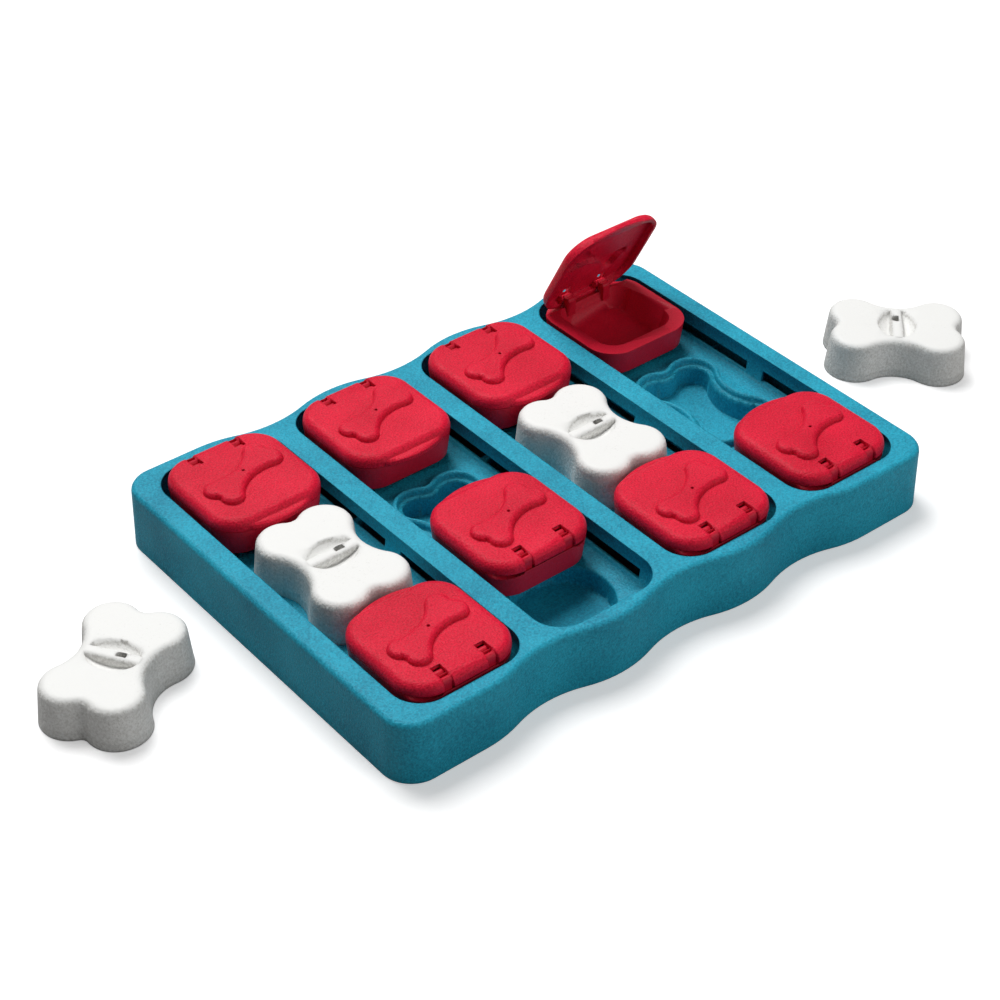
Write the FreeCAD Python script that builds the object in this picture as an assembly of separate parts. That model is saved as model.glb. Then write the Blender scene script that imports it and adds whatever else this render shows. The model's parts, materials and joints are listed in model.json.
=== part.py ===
import FreeCAD, Part
import math
import os

V = FreeCAD.Vector

# Tray: four lanes side by side along X, each running along Y
TRAY_LENGTH = 325.0
TRAY_WIDTH = 226.0
TRAY_HEIGHT = 33.4
TRAY_CORNER = 15.9
TRAY_DRAFT = 0.72
TRAY_TOP_ROUND = 3.0
TRAY_WALL = 2.2
WAVE_DEPTH = 6.4
LANES = 4
LANE_SIDE_MARGIN = 6.2
LANE_WIDTH = 66.0
LANE_END_MARGIN = 9.0
LANE_CORNER = 15.5
LANE_EDGE_ROUND = 2.0
LANE_FLOOR = 16.3
END_WELL_RADIUS = 25.0
WELL_FLOOR = 5.6
WELL_TAPER = 1.6
RIB_THICKNESS = 1.8
RIB_FOOT = 1.0
SLOT_FLOOR = 2.3
SLOT_HEIGHT = 6.0
SLOT_BRIDGE = 11.6
SLOT_END_GAP = 0.8

# The bone shape: four lobes round a waist on every side; other outlines stand off from this one
LOBE_FROM_BOX = 19.2
LOBE_ACROSS = 11.0
LOBE_RADIUS = 9.0
WAIST_ACROSS = 12.6
WAIST_PAST_LOBE = 5.6
LEDGE = 1.8
BEAD_WIDTH = 3.4
BEAD_HEIGHT = 3.4
BEAD_SLOPE = 1.2

# White bones
BONE_HEIGHT = 21.6
BONE_FOOT_WALL = 1.1
BONE_WALL = 2.0
BONE_TAPER = 1.7
BONE_TOP_ROUND = 4.0
BONE_BEAD_GAP = 0.2
BONE_RABBET_GAP = 0.4
DISH_LENGTH = 27.0
DISH_WIDTH = 21.0
DISH_DEPTH = 5.0
GRIP_WIDTH = 6.4
GRIP_ROUND = 2.2
GRIP_RISE = 0.4
GRIP_HOLE = 2.6
GRIP_HOLE_ALONG = 4.0
LOOSE_LEFT = (-223.0, 19.5)
LOOSE_LEFT_TURN = -57.0
LOOSE_RIGHT = (242.0, -15.5)
LOOSE_RIGHT_TURN = 46.0

# Sliding boxes
BOX_SIZE = 61.0
BOX_CORNER = 16.0
BOX_TAPER = 2.0
BOX_RIM = 33.4
BOX_SKIRT = 2.0
BOX_RIM_THICKNESS = 2.4
BOX_BEAD_GAP = 0.4
BOX_SKID_GAP = 0.7
CAVITY_SIZE = 46.8
CAVITY_CORNER = 11.0
CAVITY_TAPER = 4.2
CUP_WALL = 2.0
BOX_END_GAP = 2.0
BOX_MOVED = 40.5
EAR_NEAR = 6.5
EAR_LENGTH = 6.5
EAR_REACH = 35.6
EAR_GAP = 0.4

# Lids and their snap hinges
LID_TOP = 39.5
LID_GAP = 0.3
LID_WALL = 2.2
LID_ROUND = 4.4
LIP_LENGTH = 34.0
LIP_REACH = 3.7
LIP_HEIGHT = 2.9
LIP_ROUND = 0.9
HINGE_FROM_CENTRE = 26.5
HINGE_HEIGHT = 36.2
HINGE_SPREAD = 12.0
NOTCH_WIDTH = 5.4
NOTCH_LENGTH = 10.7
BAR_RADIUS = 1.5
BAR_CLEARANCE = 0.05
CLIP_WALL = 1.2
CLIP_SIDE_GAP = 0.4
CLIP_MOUTH = 2.3
CLIP_RIB_RADIUS = 1.8
CLIP_RIB_FROM_BAR = 4.4
HINGE_SWEEP_GAP = 0.3
OPEN_ANGLE = 62.5
EMBLEM_ALONG = 17.0
EMBLEM_ACROSS = 4.7
EMBLEM_RADIUS = 6.0
EMBLEM_WAIST = 5.2
EMBLEM_END_WAIST = 21.6
EMBLEM_HEIGHT = 2.9
EMBLEM_ROUND = 2.7
EMBLEM_TURN = 24.0
EMBLEM_HOLE = 0.8
ROUND_STEPS = 4

# What follows from the sizes above
LANE_PITCH = (TRAY_LENGTH - 2 * LANE_SIDE_MARGIN) / LANES
LANE_LENGTH = TRAY_WIDTH - 2 * LANE_END_MARGIN
BOX_REST = (LANE_LENGTH - BOX_SIZE) / 2 - BOX_END_GAP
SLOT_END = BOX_REST + EAR_NEAR + EAR_LENGTH + SLOT_END_GAP
LOBE_ALONG = BOX_REST - BOX_SIZE / 2 - LOBE_FROM_BOX
WAIST_ALONG = LOBE_ALONG + WAIST_PAST_LOBE
BEAD_TOP = LANE_FLOOR + BEAD_HEIGHT
BEAD_OUTER = LEDGE + BEAD_WIDTH
BONE_INNER_FOOT = BEAD_OUTER + BONE_BEAD_GAP
BONE_FOOT = BONE_INNER_FOOT + BONE_FOOT_WALL
BEAD_HALF_WIDTH = LOBE_ACROSS + LOBE_RADIUS + BEAD_OUTER


def lane_x(i):
    return (i - (LANES - 1) / 2) * LANE_PITCH


def arc(a, b, c):
    return Part.Arc(a, b, c).toShape()


def on_circle(centre, radius, degrees):
    t = math.radians(degrees)
    return centre + V(radius * math.cos(t), radius * math.sin(t), 0)


def round_rect(sx, sy, r, z):
    """A closed wire: a rectangle with rounded corners at height z."""
    hx, hy = sx / 2, sy / 2
    edges = []
    corners = [(hx - r, hy - r, 0), (r - hx, hy - r, 90), (r - hx, r - hy, 180), (hx - r, r - hy, 270)]
    for n, (x, y, start) in enumerate(corners):
        c = V(x, y, z)
        edges.append(arc(on_circle(c, r, start), on_circle(c, r, start + 45), on_circle(c, r, start + 90)))
        nx, ny, nstart = corners[(n + 1) % 4]
        edges.append(Part.makeLine(on_circle(c, r, start + 90), on_circle(V(nx, ny, z), r, nstart)))
    return Part.Wire(edges)


def four_lobes(along, across, radius, waist_x, waist_y, offset, z):
    """A bone-like outline: lobes at four corners joined by tangent hollow arcs, all standing off by offset."""
    side_r = (along ** 2 + (waist_x - across) ** 2 - radius ** 2) / (2 * (radius - (waist_x - across)))
    end_r = (across ** 2 + (waist_y - along) ** 2 - radius ** 2) / (2 * (radius - (waist_y - along)))
    side_x, end_y = waist_x + side_r, waist_y + end_r
    r = radius + offset
    side_turn = math.degrees(math.atan2(along, side_x - across))
    end_turn = math.degrees(math.atan2(across, end_y - along))
    edges = []
    for start, sx, sy in ((0, 1, 1), (90, -1, 1), (180, -1, -1), (270, 1, -1)):
        lobe = V(sx * across, sy * along, z)
        side, end = V(sx * side_x, 0, z), V(0, sy * end_y, z)
        to_side, to_end = (side - lobe).normalize(), (end - lobe).normalize()
        mid = V(sx, sy, 0)
        mid = (mid - (to_side + to_end) * 0.2).normalize()
        first, last = lobe + to_side * r, lobe + to_end * r
        if start in (90, 270):
            first, last = last, first
        edges.append(arc(first, lobe + mid * r, last))
        if start in (0, 180):
            nxt = V(-sx * across, sy * along, z)
            to_next = (end - nxt).normalize()
            edges.append(arc(last, end - V(0, sy, 0) * (end_r - offset), nxt + to_next * r))
        else:
            nxt = V(sx * across, -sy * along, z)
            to_next = (side - nxt).normalize()
            edges.append(arc(last, side - V(sx, 0, 0) * (side_r - offset), nxt + to_next * r))
    return Part.Wire(edges)


def bone_wire(offset, z):
    return four_lobes(LOBE_ALONG, LOBE_ACROSS, LOBE_RADIUS, WAIST_ACROSS, WAIST_ALONG, offset, z)


def emblem_wire(inset, z):
    return four_lobes(EMBLEM_ALONG, EMBLEM_ACROSS, EMBLEM_RADIUS, EMBLEM_WAIST, EMBLEM_END_WAIST, -inset, z)


def lid_wire(inset, z):
    return round_rect(BOX_SIZE - 2 * inset, BOX_SIZE - 2 * inset, BOX_CORNER - inset, z)


def prism(wire, height):
    return Part.Face(wire).extrude(V(0, 0, height))


def between(low, high):
    return Part.makeLoft([low, high], True, True)


def rounding(radius, z, steps=ROUND_STEPS):
    """Pairs of inset and height that follow a quarter circle up to an edge at height z."""
    turns = [math.radians(90 * n / steps) for n in range(steps + 1)]
    return [(radius * (1 - math.cos(t)), z - radius * (1 - math.sin(t))) for t in turns]


def rounded_top(wire, low, top, radius, steps=ROUND_STEPS):
    """A solid that rises from its outline at low and rounds over at top; wire gives the outline for an inset and a height."""
    sections = [wire(0, low)] + [wire(inset, z) for inset, z in rounding(radius, top, steps)]
    return Part.makeLoft(sections, True, True)


def edges_at(shape, z, tol=0.01):
    return [e for e in shape.Edges if abs(e.BoundBox.ZMin - z) < tol and abs(e.BoundBox.ZMax - z) < tol]


def tray_wire(inset, z):
    """The tray's outline: straight short sides, long sides that bulge at each lane and dip at each divider."""
    quarter, half = LANE_PITCH / 4, WAVE_DEPTH / 2
    swing = (quarter ** 2 + half ** 2) / (2 * half)
    reach = math.degrees(math.asin(quarter / swing))
    hx, hy, r = TRAY_LENGTH / 2, TRAY_WIDTH / 2, TRAY_CORNER
    edges = []
    for way in (1, -1):
        turn = 0 if way > 0 else 180
        side = []
        corner = V(hx - r, hy - r, z)
        side.append(arc(on_circle(corner, r - inset, 0), on_circle(corner, r - inset, 45), on_circle(corner, r - inset, 90)))
        last = V(lane_x(LANES - 1), hy - inset, z)
        side.append(Part.makeLine(on_circle(corner, r - inset, 90), last))
        for i in range(LANES - 1, -1, -1):
            crest = V(lane_x(i), hy - swing, z)
            low = 90 - reach if i < LANES - 1 else 90
            high = 90 + reach if i else 90
            side.append(arc(on_circle(crest, swing - inset, low), on_circle(crest, swing - inset, (low + high) / 2),
                            on_circle(crest, swing - inset, high)))
            if i:
                dip = V(lane_x(i) - LANE_PITCH / 2, hy - WAVE_DEPTH + swing, z)
                side.append(arc(on_circle(dip, swing + inset, 270 + reach), on_circle(dip, swing + inset, 270),
                                on_circle(dip, swing + inset, 270 - reach)))
        corner = V(r - hx, hy - r, z)
        side.append(Part.makeLine(V(lane_x(0), hy - inset, z), on_circle(corner, r - inset, 90)))
        side.append(arc(on_circle(corner, r - inset, 90), on_circle(corner, r - inset, 135), on_circle(corner, r - inset, 180)))
        side.append(Part.makeLine(on_circle(corner, r - inset, 180), V(inset - hx, r - hy, z)))
        for e in side:
            e.rotate(V(0, 0, 0), V(0, 0, 1), turn)
        edges += side
    return Part.Wire(Part.__sortEdges__(edges))


def lane_wire(grow, z):
    return round_rect(LANE_WIDTH + 2 * grow, LANE_LENGTH + 2 * grow, LANE_CORNER + grow, z)


def lane_space():
    """The open space of one lane, flaring at the top by the round of its edge."""
    flare = [(LANE_EDGE_ROUND - inset, z) for inset, z in reversed(rounding(LANE_EDGE_ROUND, 0, 3))]
    sections = [lane_wire(0, LANE_FLOOR)]
    sections += [lane_wire(LANE_EDGE_ROUND - grow, TRAY_HEIGHT - LANE_EDGE_ROUND - z) for grow, z in flare]
    return Part.makeLoft(sections, True, True)


def wells(grow, floor):
    """The three wells of a lane: a round one under each box at rest, and a bone-shaped one in the middle."""
    out = []
    height = LANE_FLOOR - floor
    for y in (-BOX_REST, BOX_REST):
        out.append(Part.makeCone(END_WELL_RADIUS - WELL_TAPER + grow, END_WELL_RADIUS + grow, height, V(0, y, floor)))
    out.append(between(bone_wire(grow - WELL_TAPER / 2, floor), bone_wire(grow, LANE_FLOOR)))
    return out


def slots():
    """Two long slots through each side wall of a lane, with a bridge between them."""
    out = []
    length = SLOT_END - SLOT_BRIDGE / 2
    for sx in (-1, 1):
        for sy in (-1, 1):
            x = sx * (LANE_WIDTH / 2 + TRAY_WALL / 2) - (TRAY_WALL + 1) / 2
            y = SLOT_BRIDGE / 2 if sy > 0 else -SLOT_END
            out.append(Part.makeBox(TRAY_WALL + 1, length, SLOT_HEIGHT, V(x, y, LANE_FLOOR + SLOT_FLOOR)))
    return out


def make_tray():
    over = [(TRAY_DRAFT + inset, z) for inset, z in rounding(TRAY_TOP_ROUND, TRAY_HEIGHT)]
    outer = Part.makeLoft([tray_wire(0, 0)] + [tray_wire(inset, z) for inset, z in over], True, True)
    inner = between(tray_wire(TRAY_WALL, -1), tray_wire(TRAY_DRAFT + TRAY_WALL, TRAY_HEIGHT - TRAY_WALL))
    pans, cuts, beads, ribs = [], [], [], []
    for i in range(LANES):
        here = V(lane_x(i), 0, 0)
        pan = [prism(lane_wire(TRAY_WALL, LANE_FLOOR - TRAY_WALL), TRAY_HEIGHT)] + wells(TRAY_WALL, WELL_FLOOR - TRAY_WALL)
        cut = [lane_space()] + wells(0, WELL_FLOOR) + slots()
        slope = BEAD_SLOPE
        bead = Part.makeLoft([bone_wire(BEAD_OUTER, LANE_FLOOR), bone_wire(BEAD_OUTER - slope / 3, BEAD_TOP - slope),
                              bone_wire(BEAD_OUTER - slope, BEAD_TOP)], True, True)
        bead = bead.cut(Part.makeLoft([bone_wire(LEDGE, LANE_FLOOR), bone_wire(LEDGE + slope / 3, BEAD_TOP - slope),
                                       bone_wire(LEDGE + slope, BEAD_TOP)], True, True))
        rib = [Part.makeBox(RIB_THICKNESS, TRAY_WIDTH, LANE_FLOOR - RIB_FOOT, V(-RIB_THICKNESS / 2, -TRAY_WIDTH / 2, RIB_FOOT))]
        for group, shapes in ((pans, pan), (cuts, cut), (beads, [bead]), (ribs, rib)):
            for s in shapes:
                s.translate(here)
            group += shapes
    for y in (-(LOBE_ALONG + LOBE_RADIUS), 0, LOBE_ALONG + LOBE_RADIUS):
        y = math.copysign(abs(y) + TRAY_WALL * 2, y) if y else 0
        ribs.append(Part.makeBox(TRAY_LENGTH, RIB_THICKNESS, LANE_FLOOR - RIB_FOOT,
                                 V(-TRAY_LENGTH / 2, y - RIB_THICKNESS / 2, RIB_FOOT)))
    hollow = inner.cut(pans).cut(ribs)
    tray = outer.cut(cuts[0].fuse(cuts[1:])).cut(hollow)
    return tray.fuse(beads).removeSplitter()


def lane_floors(tray):
    """The stretches of lane floor, each with its well, that the one-piece tray is modelled in."""
    floors = {}
    parting = (BOX_REST - END_WELL_RADIUS + LOBE_ALONG + LOBE_RADIUS + BEAD_OUTER) / 2
    stretches = (("front", -TRAY_WIDTH / 2, -parting), ("middle", -parting, parting), ("back", parting, TRAY_WIDTH / 2))
    for i in range(LANES):
        under = prism(lane_wire(0, 0), BEAD_TOP)
        under.translate(V(lane_x(i), 0, 0))
        for place, start, end in stretches:
            block = Part.makeBox(LANE_WIDTH, end - start, BEAD_TOP, V(lane_x(i) - LANE_WIDTH / 2, start, 0))
            floors["floor_%d_%s" % (i + 1, place)] = tray.common(under.common(block))
    return floors


def make_bone():
    """A hollow bone, standing on z = 0, with a dished grip bar across its waist."""
    foot, top = BONE_FOOT, BONE_FOOT - BONE_TAPER
    over = [(top - inset, z) for inset, z in rounding(BONE_TOP_ROUND, BONE_HEIGHT)]
    body = Part.makeLoft([bone_wire(foot, 0)] + [bone_wire(offset, z) for offset, z in over], True, True)
    rabbet_top = BEAD_HEIGHT + BONE_RABBET_GAP
    rabbet = prism(bone_wire(BONE_INNER_FOOT, -0.5), rabbet_top + 0.5)
    roof = BONE_HEIGHT - BONE_WALL
    hollow = between(bone_wire(foot - BONE_WALL, 0), bone_wire(top - BONE_WALL, roof))
    hollow = hollow.cut(dish(BONE_WALL))
    bone = body.cut(rabbet.fuse(hollow)).cut(dish(0))
    bone = bone.fuse(grip())
    hole = Part.makeCylinder(GRIP_HOLE, BONE_HEIGHT, V(GRIP_HOLE_ALONG, 0, BONE_HEIGHT / 2))
    flat = Part.makeBox(4 * GRIP_HOLE, 2 * GRIP_HOLE, 2 * BONE_HEIGHT, V(GRIP_HOLE_ALONG - 2 * GRIP_HOLE, -2.4 * GRIP_HOLE, 0))
    return bone.cut(hole.cut(flat)).removeSplitter()


def dish(grow):
    """The oval scoop in the bone's top, rounding down to a small flat."""
    sections = []
    for n in range(ROUND_STEPS):
        t = math.radians(90 * n / ROUND_STEPS)
        z = BONE_HEIGHT - (DISH_DEPTH + grow) * math.sin(t)
        long, short = (DISH_LENGTH / 2 + grow) * math.cos(t), (DISH_WIDTH / 2 + grow) * math.cos(t)
        sections.append(Part.Wire([Part.Ellipse(V(0, 0, z), long, short).toShape()]))
    return Part.makeLoft(sections, True, True)


def grip():
    low = BONE_HEIGHT - DISH_DEPTH - BONE_WALL / 2
    high = BONE_HEIGHT + GRIP_RISE
    bar = Part.makeBox(DISH_LENGTH, GRIP_WIDTH, high - low, V(-DISH_LENGTH / 2, -GRIP_WIDTH / 2, low))
    return bar.makeFillet(GRIP_ROUND, [e for e in edges_at(bar, high) if e.BoundBox.XLength > GRIP_WIDTH])


def box_outline(grow, z):
    """The box's tapering outside at height z, moved in or out by grow."""
    taper = BOX_TAPER * (BOX_RIM - z) / (BOX_RIM - LANE_FLOOR)
    size = BOX_SIZE + 2 * (grow - taper)
    return round_rect(size, size, BOX_CORNER + grow - taper, z)


def cup_wire(grow, z):
    return round_rect(CAVITY_SIZE + 2 * grow, CAVITY_SIZE + 2 * grow, CAVITY_CORNER + grow, z)


def make_box():
    """A treat box with its centre on the Z axis and its hinge side towards +Y."""
    top = BOX_RIM
    floor = BEAD_TOP + BOX_BEAD_GAP
    outer = between(box_outline(0, LANE_FLOOR), box_outline(0, top))
    under = between(box_outline(-BOX_SKIRT, LANE_FLOOR), box_outline(-BOX_SKIRT, top - BOX_RIM_THICKNESS))
    cavity = between(cup_wire(-CAVITY_TAPER, floor + CUP_WALL), cup_wire(0, top))
    cup = between(cup_wire(CUP_WALL - CAVITY_TAPER, floor), cup_wire(CUP_WALL, top))
    box = outer.cut(under.cut(cup)).cut(cavity)
    gap = BEAD_HALF_WIDTH + BOX_SKID_GAP
    box = box.cut(Part.makeBox(2 * gap, 2 * BOX_SIZE, floor - LANE_FLOOR + 1, V(-gap, -BOX_SIZE, LANE_FLOOR - 1)))
    sweep = math.hypot(BOX_SIZE / 2 - HINGE_FROM_CENTRE, HINGE_HEIGHT - (BOX_RIM + LID_GAP)) + HINGE_SWEEP_GAP
    groove = Part.makeCylinder(sweep, 2 * BOX_SIZE, V(-BOX_SIZE, HINGE_FROM_CENTRE, HINGE_HEIGHT), V(1, 0, 0))
    box = box.cut(groove)
    parts = [ear(sx) for sx in (-1, 1)] + [clip(sx) for sx in (-1, 1)]
    return box.fuse(parts).removeSplitter()


def ear(sx):
    """A tab that rides in the lane's slot and keeps the box down."""
    low = LANE_FLOOR + SLOT_FLOOR + EAR_GAP
    height = SLOT_HEIGHT - 2 * EAR_GAP
    root = BOX_SIZE / 2 - BOX_TAPER - BOX_SKIRT / 2
    tab = Part.makeBox(EAR_REACH - root, EAR_LENGTH, height, V(root, EAR_NEAR, low))
    tab = tab.makeFillet(1.2, [e for e in tab.Edges if abs(e.BoundBox.XMin - EAR_REACH) < 0.01 and e.BoundBox.ZLength > 1])
    if sx < 0:
        tab = tab.mirror(V(0, 0, 0), V(1, 0, 0))
    return tab


def clip(sx):
    """An open clip that the lid's hinge bar snaps into, and the rib beside it that fills the notch."""
    width = NOTCH_WIDTH - 2 * CLIP_SIDE_GAP
    x = sx * HINGE_SPREAD - width / 2
    outer = BAR_RADIUS + BAR_CLEARANCE + CLIP_WALL
    y, z = HINGE_FROM_CENTRE, HINGE_HEIGHT
    barrel = Part.makeCylinder(outer, width, V(x, y, z), V(1, 0, 0))
    foot = BOX_RIM - BOX_RIM_THICKNESS - 3
    post = Part.makeBox(width, 2 * outer, z - foot, V(x, y - outer, foot))
    body = barrel.fuse(post)
    body = body.cut(Part.makeCylinder(BAR_RADIUS + BAR_CLEARANCE, width + 2, V(x - 1, y, z), V(1, 0, 0)))
    mouth = Part.makeBox(width + 2, CLIP_MOUTH, outer + 1, V(x - 1, y - CLIP_MOUTH / 2, z))
    rib_y = y - CLIP_RIB_FROM_BAR
    rib = Part.makeCylinder(CLIP_RIB_RADIUS, width, V(x, rib_y, z), V(1, 0, 0))
    stem = Part.makeBox(width, 2 * CLIP_RIB_RADIUS, z - foot, V(x, rib_y - CLIP_RIB_RADIUS, foot))
    return body.cut(mouth).fuse([rib, stem])


def make_lid():
    """A lid shut over its box, with its hinge side towards +Y."""
    low = BOX_RIM + LID_GAP
    shell = rounded_top(lid_wire, low, LID_TOP, LID_ROUND)
    shell = shell.cut(prism(lid_wire(LID_WALL, low - 1), LID_TOP - LID_WALL - low + 1))
    shell = shell.fuse(lip(low))
    raised = rounded_top(emblem_wire, LID_TOP - LID_WALL / 2, LID_TOP + EMBLEM_HEIGHT, EMBLEM_ROUND, 3)
    recess = prism(emblem_wire(LID_WALL, LID_TOP - LID_WALL - 0.5), EMBLEM_HEIGHT + 0.5)
    for s in (raised, recess):
        s.rotate(V(0, 0, 0), V(0, 0, 1), EMBLEM_TURN - 90)
    lid = shell.fuse(raised).cut(recess)
    lid = lid.cut(Part.makeCylinder(EMBLEM_HOLE, 2 * LID_TOP))
    return with_hinge(lid).removeSplitter()


def lip(low):
    """The lens-shaped finger lip on the edge away from the hinge."""
    half = LIP_LENGTH / 2
    radius = (half ** 2 + LIP_REACH ** 2) / (2 * LIP_REACH)
    disc = Part.makeCylinder(radius, LIP_HEIGHT, V(0, radius - BOX_SIZE / 2 - LIP_REACH, low))
    disc = disc.makeChamfer(LIP_ROUND, edges_at(disc, low + LIP_HEIGHT))
    keep = Part.makeBox(LIP_LENGTH, LIP_REACH + LID_WALL / 2, 2 * LIP_HEIGHT, V(-half, -BOX_SIZE / 2 - LIP_REACH, low))
    return disc.common(keep)


def with_hinge(lid):
    """Cut the two notches and set a hinge bar with its cheeks across each."""
    edge, y, z = BOX_SIZE / 2, HINGE_FROM_CENTRE, HINGE_HEIGHT
    top = LID_TOP - LID_WALL / 2
    for sx in (-1, 1):
        x = sx * HINGE_SPREAD
        cheek = BAR_RADIUS + 0.7
        for side in (-1, 1):
            wall = x + side * (NOTCH_WIDTH + LID_WALL * 0.7) / 2 - LID_WALL * 0.35
            block = Part.makeCylinder(cheek, LID_WALL * 0.7, V(wall, y, z), V(1, 0, 0))
            web = Part.makeBox(LID_WALL * 0.7, 2 * cheek, top - z, V(wall, y - cheek, z))
            lid = lid.fuse([block, web])
        lid = lid.cut(Part.makeBox(NOTCH_WIDTH, NOTCH_LENGTH + 1, 2 * LID_TOP, V(x - NOTCH_WIDTH / 2, edge - NOTCH_LENGTH, 0)))
        bar = Part.makeCylinder(BAR_RADIUS, NOTCH_WIDTH + LID_WALL, V(x - (NOTCH_WIDTH + LID_WALL) / 2, y, z), V(1, 0, 0))
        lid = lid.fuse(bar)
    return lid


def placed(shape, i, back, slide):
    s = shape.copy()
    if not back:
        s.rotate(V(0, 0, 0), V(0, 0, 1), 180)
    s.translate(V(lane_x(i), slide, 0))
    return s


def main():
    os.makedirs("parts", exist_ok=True)
    tray, bone, box, lid = make_tray(), make_bone(), make_box(), make_lid()
    out = lane_floors(tray)
    lanes = [prism(lane_wire(0, 0), BEAD_TOP) for i in range(LANES)]
    for i, lane in enumerate(lanes):
        lane.translate(V(lane_x(i), 0, 0))
    out["tray"] = tray.cut(lanes)
    opened = lid.copy()
    opened.rotate(V(0, HINGE_FROM_CENTRE, HINGE_HEIGHT), V(1, 0, 0), -OPEN_ANGLE)
    for i in range(LANES):
        for back in (True, False):
            name = "%d_%s" % (i + 1, "back" if back else "front")
            y = BOX_REST if back else -BOX_REST
            if i == 1 and not back:
                y += BOX_MOVED
            out["box_" + name] = placed(box, i, back, y)
            out["lid_" + name] = placed(opened if i == 3 and back else lid, i, back, y)
    for name, x, y, z, turn in (("bone_1", lane_x(0), 0, LANE_FLOOR, 0), ("bone_3", lane_x(2), 0, LANE_FLOOR, 0),
                                ("bone_left", *LOOSE_LEFT, 0, LOOSE_LEFT_TURN),
                                ("bone_right", *LOOSE_RIGHT, 0, LOOSE_RIGHT_TURN)):
        s = bone.copy()
        s.rotate(V(0, 0, 0), V(0, 0, 1), turn)
        s.translate(V(x, y, z))
        out[name] = s
    for name, shape in out.items():
        shape.exportStep("parts/%s.step" % name)
        print(name, shape.isValid(), len(shape.Solids), round(shape.Volume))


main()
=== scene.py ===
import json
import math

import bpy
from mathutils import Matrix, Vector

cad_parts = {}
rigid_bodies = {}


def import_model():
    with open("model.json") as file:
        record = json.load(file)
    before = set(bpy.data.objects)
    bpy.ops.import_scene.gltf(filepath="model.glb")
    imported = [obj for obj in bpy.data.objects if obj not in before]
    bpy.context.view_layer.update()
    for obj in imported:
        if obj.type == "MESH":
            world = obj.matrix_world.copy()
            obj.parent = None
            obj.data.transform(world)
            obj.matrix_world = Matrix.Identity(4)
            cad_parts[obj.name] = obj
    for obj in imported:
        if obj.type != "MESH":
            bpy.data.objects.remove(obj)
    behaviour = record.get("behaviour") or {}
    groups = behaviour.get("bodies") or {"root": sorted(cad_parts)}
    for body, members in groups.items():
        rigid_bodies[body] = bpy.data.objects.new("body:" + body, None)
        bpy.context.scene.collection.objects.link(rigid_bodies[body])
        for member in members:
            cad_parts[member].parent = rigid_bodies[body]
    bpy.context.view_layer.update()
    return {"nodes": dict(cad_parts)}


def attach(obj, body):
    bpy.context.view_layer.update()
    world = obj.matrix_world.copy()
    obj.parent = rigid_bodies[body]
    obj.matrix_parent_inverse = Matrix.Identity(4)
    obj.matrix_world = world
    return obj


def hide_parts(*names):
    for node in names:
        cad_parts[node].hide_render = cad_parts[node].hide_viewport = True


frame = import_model()

# The tray is one moulding in teal plastic. Its steel mould is spark-eroded, which leaves
# a fine, hard grain on every face: it scatters the light in small specks, and the top
# looks soft and matt. The lanes, wells, beads and ribs belong to the same shot.
TRAY_TEAL = (0.022, 0.430, 0.600, 1)
TRAY_TEAL_DEEP = (0.006, 0.215, 0.330, 1)
TRAY_ROUGHNESS = 0.45
TRAY_SHEEN = 0.22
TRAY_RELIEF = 0.00045
TRAY_GRAIN = 0.0010
TRAY_EDGE = 0.0010
CLOUDS_PER_METRE = 30
FINE_SHARE = 0.7
DEEP_UP_TO, LIGHT_FROM = 0.36, 0.62
MERGE = 0.000002
CREASE = math.radians(32)


def make_grain_group():
    """Spark-eroded grain: a height for the bump, and fine specks over slow clouds as a shade."""
    group = bpy.data.node_groups.new("spark grain", "ShaderNodeTree")
    group.interface.new_socket("Grains per metre", in_out="INPUT", socket_type="NodeSocketFloat")
    group.interface.new_socket("Height", in_out="OUTPUT", socket_type="NodeSocketFloat")
    group.interface.new_socket("Shade", in_out="OUTPUT", socket_type="NodeSocketFloat")
    nodes, links = group.nodes, group.links
    given, out = nodes.new("NodeGroupInput"), nodes.new("NodeGroupOutput")
    place = nodes.new("ShaderNodeTexCoord")
    fine = nodes.new("ShaderNodeTexNoise")
    fine.inputs["Detail"].default_value = 3
    fine.inputs["Roughness"].default_value = 0.65
    clouds = nodes.new("ShaderNodeTexNoise")
    clouds.inputs["Scale"].default_value = CLOUDS_PER_METRE
    clouds.inputs["Detail"].default_value = 2
    both = nodes.new("ShaderNodeMix")
    both.inputs["Factor"].default_value = FINE_SHARE
    links.new(place.outputs["Object"], fine.inputs["Vector"])
    links.new(place.outputs["Object"], clouds.inputs["Vector"])
    links.new(given.outputs["Grains per metre"], fine.inputs["Scale"])
    links.new(fine.outputs["Fac"], out.inputs["Height"])
    links.new(clouds.outputs["Fac"], both.inputs["A"])
    links.new(fine.outputs["Fac"], both.inputs["B"])
    links.new(both.outputs["Result"], out.inputs["Shade"])


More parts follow.
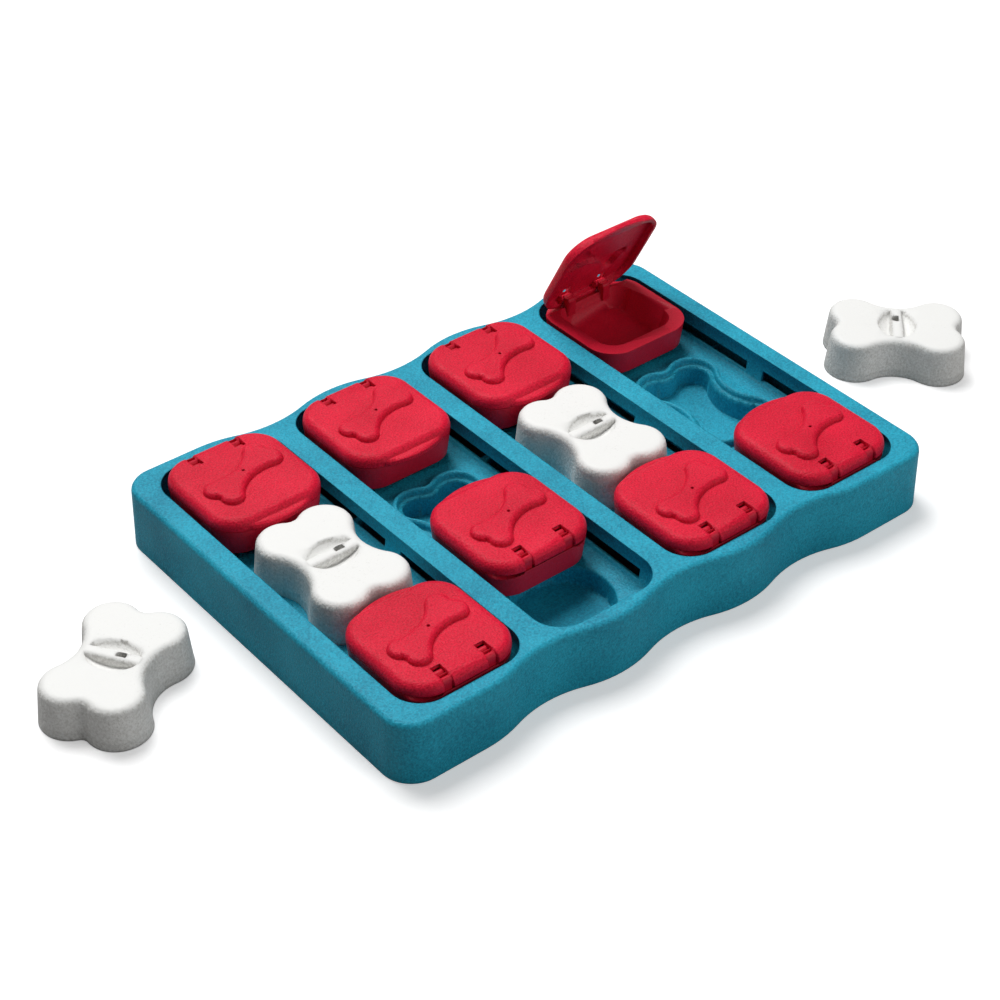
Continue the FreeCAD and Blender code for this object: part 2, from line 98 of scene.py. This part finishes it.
def grained_plastic(name, light, deep, roughness, sheen, relief_depth, grain_size, edge):
    """Moulded plastic: specks between two tones, spark grain, and edges the mould left soft."""
    material = bpy.data.materials.new(name)
    material.use_nodes = True
    nodes, links = material.node_tree.nodes, material.node_tree.links
    shader = nodes["Principled BSDF"]
    grain = nodes.new("ShaderNodeGroup")
    grain.name = "grain"
    grain.node_tree = bpy.data.node_groups["spark grain"]
    grain.inputs["Grains per metre"].default_value = 1 / grain_size
    tones = nodes.new("ShaderNodeValToRGB")
    tones.name = "tones"
    tones.color_ramp.elements[0].position = DEEP_UP_TO
    tones.color_ramp.elements[0].color = deep
    tones.color_ramp.elements[1].position = LIGHT_FROM
    tones.color_ramp.elements[1].color = light
    soft_edge = nodes.new("ShaderNodeBevel")
    soft_edge.samples = 4
    soft_edge.inputs["Radius"].default_value = edge
    relief = nodes.new("ShaderNodeBump")
    relief.name = "relief"
    relief.inputs["Strength"].default_value = 1
    relief.inputs["Distance"].default_value = relief_depth
    links.new(grain.outputs["Shade"], tones.inputs["Fac"])
    links.new(tones.outputs["Color"], shader.inputs["Base Color"])
    links.new(grain.outputs["Height"], relief.inputs["Height"])
    links.new(soft_edge.outputs["Normal"], relief.inputs["Normal"])
    links.new(relief.outputs["Normal"], shader.inputs["Normal"])
    shader.inputs["Roughness"].default_value = roughness
    shader.inputs["Specular IOR Level"].default_value = sheen
    return material


def named(start):
    """The frame's nodes of one kind, in a fixed order."""
    return sorted(node for node in frame["nodes"] if node.startswith(start))


def merged_copy(node):
    """A copy of one of the frame's pieces with its loose triangles joined at their corners."""
    bpy.ops.object.select_all(action="DESELECT")
    copy = frame["nodes"][node].copy()
    copy.data = frame["nodes"][node].data.copy()
    bpy.context.scene.collection.objects.link(copy)
    copy.select_set(True)
    bpy.context.view_layer.objects.active = copy
    bpy.ops.object.mode_set(mode="EDIT")
    bpy.ops.mesh.select_all(action="SELECT")
    bpy.ops.mesh.remove_doubles(threshold=MERGE)
    bpy.ops.object.mode_set(mode="OBJECT")
    return copy


def moulded(nodes, material):
    """One moulding from the frame's pieces, smooth over its rounds and flat on its faces."""
    stretches = bpy.data.collections.new(nodes[0] + " stretches")
    for node in nodes[1:]:
        stretches.objects.link(merged_copy(node))
    piece = merged_copy(nodes[0])
    piece.name = nodes[0] + "_moulding"
    if len(nodes) > 1:
        one_shot = piece.modifiers.new("one shot", "BOOLEAN")
        one_shot.operation = "UNION"
        one_shot.solver = "EXACT"
        one_shot.operand_type = "COLLECTION"
        one_shot.collection = stretches
        bpy.ops.object.modifier_apply(modifier=one_shot.name)
    for stretch in list(stretches.objects):
        bpy.data.objects.remove(stretch)
    bpy.data.collections.remove(stretches)
    bpy.ops.object.shade_smooth_by_angle(angle=CREASE)
    even = piece.modifiers.new("flat faces stay flat", "WEIGHTED_NORMAL")
    even.keep_sharp = True
    even.weight = 100
    bpy.ops.object.modifier_apply(modifier=even.name)
    piece.data.materials.clear()
    piece.data.materials.append(material)
    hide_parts(*nodes)
    return piece


make_grain_group()
teal = grained_plastic("teal grained plastic", TRAY_TEAL, TRAY_TEAL_DEEP, TRAY_ROUGHNESS,
                       TRAY_SHEEN, TRAY_RELIEF, TRAY_GRAIN, TRAY_EDGE)
tray = moulded(["tray"] + named("floor_"), teal)
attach(tray, "tray")

# Eight treat boxes in crimson plastic, each a cup inside a skirt. They run in the lanes on
# their skirts, kept down by two ears that ride in slots of the lane's walls.
BOX_RED = (0.660, 0.012, 0.040, 1)
BOX_RED_DEEP = (0.520, 0.009, 0.030, 1)
BOX_ROUGHNESS = 0.40
BOX_SHEEN = 0.2
BOX_RELIEF = 0.00016
RED_GRAIN = 0.0009
RED_EDGE = 0.0006
box_red = grained_plastic("crimson box plastic", BOX_RED, BOX_RED_DEEP, BOX_ROUGHNESS,
                          BOX_SHEEN, BOX_RELIEF, RED_GRAIN, RED_EDGE)
for name in named("box_"):
    box = moulded([name], box_red)
    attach(box, name)

# Eight lids in the same crimson, with a grain nearly as deep as the tray's. Each snaps into
# the open clips of its box by two hinge bars, and carries a raised bone and a finger lip.
LID_RED = (0.860, 0.014, 0.052, 1)
LID_RED_DEEP = (0.500, 0.004, 0.022, 1)
LID_ROUGHNESS = 0.36
LID_SHEEN = 0.15
LID_RELIEF = 0.00040
lid_red = grained_plastic("crimson lid plastic", LID_RED, LID_RED_DEEP, LID_ROUGHNESS,
                          LID_SHEEN, LID_RELIEF, RED_GRAIN, RED_EDGE)
for name in named("lid_"):
    lid = moulded([name], lid_red)
    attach(lid, name)

# Four hollow white bones. A seated bone stands over the bead of its lane's middle well and
# keeps both boxes from sliding. Their tops are polished, with a weaker grain, and carry painted
# top light: their tone is pushed towards the white. Their sides have the coarsest grain of all,
# which shows as dark specks, and the speck tone also serves as painted shade on the sides.
BONE_WHITE = (0.86, 0.86, 0.84, 1)
# The dark speck tone, which across the sides also stands as painted side shade.
BONE_SPECK_AND_SIDE_SHADE = (0.60, 0.59, 0.56, 1)
BONE_ROUGHNESS = 0.5
BONE_SHEEN = 0.35
BONE_RELIEF = 0.00060
BONE_GRAIN = 0.0012
BONE_EDGE = 0.0022
SIDE_UP_TO, TOP_FROM = 0.55, 0.95
# Painted top light: how far the tone of level faces is pushed towards the white.
PAINTED_TOP_LIGHT_LIFT = 0.22
TOP_RELIEF = 0.25


def over_the_top(tree, rising, on_sides, on_top):
    """A value that changes from the steep sides to the level top, by how far a face looks up."""
    change = tree.nodes.new("ShaderNodeMapRange")
    change.inputs["From Min"].default_value = SIDE_UP_TO
    change.inputs["From Max"].default_value = TOP_FROM
    change.inputs["To Min"].default_value = on_sides
    change.inputs["To Max"].default_value = on_top
    tree.links.new(rising, change.inputs["Value"])
    return change.outputs["Result"]


def put_between(tree, operation, start, value, end):
    """Adds a value to what one node sends the other, or multiplies the two."""
    step = tree.nodes.new("ShaderNodeMath")
    step.operation = operation
    tree.links.new(start, step.inputs[0])
    tree.links.new(value, step.inputs[1])
    tree.links.new(step.outputs[0], end)


bone_white = grained_plastic("white bone plastic", BONE_WHITE, BONE_SPECK_AND_SIDE_SHADE, BONE_ROUGHNESS,
                             BONE_SHEEN, BONE_RELIEF, BONE_GRAIN, BONE_EDGE)
bone_tree = bone_white.node_tree
facing = bone_tree.nodes.new("ShaderNodeNewGeometry")
split = bone_tree.nodes.new("ShaderNodeSeparateXYZ")
bone_tree.links.new(facing.outputs["Normal"], split.inputs["Vector"])
# Painted top light: faces that look up are pushed towards the light tone, so the tops read
# lighter than the painted shade of the sides.
painted_top_light = over_the_top(bone_tree, split.outputs["Z"], 0, PAINTED_TOP_LIGHT_LIFT)
polish = over_the_top(bone_tree, split.outputs["Z"], 1, TOP_RELIEF)
bone_grain = bone_tree.nodes["grain"]
put_between(bone_tree, "ADD", bone_grain.outputs["Shade"], painted_top_light,
            bone_tree.nodes["tones"].inputs["Fac"])
put_between(bone_tree, "MULTIPLY", bone_grain.outputs["Height"], polish,
            bone_tree.nodes["relief"].inputs["Height"])
for name in named("bone_"):
    bone = moulded([name], bone_white)
    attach(bone, name)

# The floor is a plain white sweep that keeps the toy's soft shadow. It glows only to the
# camera. Under the tray, which is open below, lies a dark sheet with no glow as painted shade,
# so the tray looks dark inside.
FLOOR_SIZE = (12.0, 12.0)
FLOOR_DROP = 0.0002
FLOOR_SHADE = 0.85
FLOOR_GLOW = 0.35
# The sheet under the tray is painted shade: dark paper with no glow.
PAINTED_SHADE_SHEET_SIZE = (0.30, 0.20)
PAINTED_SHADE_SHEET_DROP = 0.0001
PAINTED_SHADE_SHEET_TONE = 0.25
THROWN_BACK = (0.40, 0.40, 0.40, 1)


def paper(name, shade, glow):
    """Matt paper in the tone the camera sees: pale on the floor, and dark as painted shade under
    the tray. Other rays see a fixed grey, so the floor throws less light back on the toy.
    """
    material = bpy.data.materials.new(name)
    material.use_nodes = True
    nodes, links = material.node_tree.nodes, material.node_tree.links
    shader = nodes["Principled BSDF"]
    shader.inputs["Roughness"].default_value = 1
    shader.inputs["Specular IOR Level"].default_value = 0
    seen = nodes.new("ShaderNodeLightPath")
    tone = nodes.new("ShaderNodeMix")
    tone.data_type = "RGBA"
    tone.inputs["A"].default_value = THROWN_BACK
    tone.inputs["B"].default_value = (shade, shade, shade, 1)
    links.new(seen.outputs["Is Camera Ray"], tone.inputs["Factor"])
    links.new(tone.outputs["Result"], shader.inputs["Base Color"])
    shader.inputs["Emission Color"].default_value = (1, 1, 1, 1)
    strength = nodes.new("ShaderNodeMath")
    strength.operation = "MULTIPLY"
    strength.inputs[1].default_value = glow
    links.new(seen.outputs["Is Camera Ray"], strength.inputs[0])
    links.new(strength.outputs[0], shader.inputs["Emission Strength"])
    return material


def lay_sheet(name, size, drop, shade, glow):
    """A flat sheet of paper, a hair below the toy's resting face."""
    bpy.ops.object.select_all(action="DESELECT")
    bpy.ops.mesh.primitive_plane_add(size=1, location=(0, 0, 0))
    sheet = bpy.context.active_object
    sheet.name = name
    bpy.ops.object.mode_set(mode="EDIT")
    bpy.ops.transform.resize(value=(size[0], size[1], 1))
    bpy.ops.transform.translate(value=(0, 0, -drop))
    bpy.ops.object.mode_set(mode="OBJECT")
    sheet.data.materials.append(paper(name + " paper", shade, glow))


lay_sheet("floor", FLOOR_SIZE, FLOOR_DROP, FLOOR_SHADE, FLOOR_GLOW)
# A dark sheet without glow under the tray: painted shade, seen through its open slots.
lay_sheet("painted shade under tray", PAINTED_SHADE_SHEET_SIZE, PAINTED_SHADE_SHEET_DROP, PAINTED_SHADE_SHEET_TONE, 0)

# Soft studio light: a broad box behind and above on the right, which leaves the near faces
# in shade, a weak one in front on the right, and a dim even surround that the camera sees
# white. Both boxes are square and look at the middle of the tray.
SURROUND = 0.15
KEY_PLACE, KEY_SIZE, KEY_WATTS = (0.15, 1.25, 2.40), 1.5, 74
FILL_PLACE, FILL_SIZE, FILL_WATTS = (0.9, -2.0, 1.2), 1.4, 16
world = bpy.data.worlds.new("studio")
bpy.context.scene.world = world
world.use_nodes = True
surround = world.node_tree.nodes["Background"]
surround.inputs["Color"].default_value = (1, 1, 1, 1)
world_path = world.node_tree.nodes.new("ShaderNodeLightPath")
world_level = world.node_tree.nodes.new("ShaderNodeMapRange")
world_level.inputs["To Min"].default_value = SURROUND
world_level.inputs["To Max"].default_value = 1
world.node_tree.links.new(world_path.outputs["Is Camera Ray"], world_level.inputs["Value"])
world.node_tree.links.new(world_level.outputs["Result"], surround.inputs["Strength"])


def hang_softbox(name, place, size, watts):
    """A square soft box aimed at the middle of the tray."""
    lamp = bpy.data.lights.new(name, "AREA")
    lamp.shape = "SQUARE"
    lamp.size = size
    lamp.energy = watts
    holder = bpy.data.objects.new(name, lamp)
    bpy.context.scene.collection.objects.link(holder)
    holder.location = place
    holder.rotation_euler = (-Vector(place)).to_track_quat("-Z", "Y").to_euler()


hang_softbox("key box", KEY_PLACE, KEY_SIZE, KEY_WATTS)
hang_softbox("fill box", FILL_PLACE, FILL_SIZE, FILL_WATTS)

# The camera stands in front on the left and looks down on the tray through a long lens,
# as it did when the toy was photographed.
AZIMUTH = math.radians(-39.35)
ELEVATION = math.radians(38.0)
ROLL = math.radians(0.37)
DISTANCE = 1.09419
AIM = Vector((-0.01887, -0.00015, 0.020))
SENSOR_WIDTH = 36
FOCAL = 2.27396 * SENSOR_WIDTH
NEAREST = 0.01
back = Vector((math.sin(AZIMUTH) * math.cos(ELEVATION),
               -math.cos(AZIMUTH) * math.cos(ELEVATION),
               math.sin(ELEVATION)))
level = Vector((math.cos(AZIMUTH), math.sin(AZIMUTH), 0))
upright = back.cross(level)
right = level * math.cos(ROLL) + upright * math.sin(ROLL)
up = upright * math.cos(ROLL) - level * math.sin(ROLL)
turned = Matrix((right, up, back)).transposed().to_4x4()
lens = bpy.data.cameras.new("camera")
lens.sensor_width = SENSOR_WIDTH
lens.lens = FOCAL
lens.clip_start = NEAREST
camera = bpy.data.objects.new("camera", lens)
bpy.context.scene.collection.objects.link(camera)
camera.matrix_world = Matrix.Translation(AIM + back * DISTANCE) @ turned
bpy.context.scene.camera = camera
bpy.context.scene.view_settings.view_transform = "Standard"
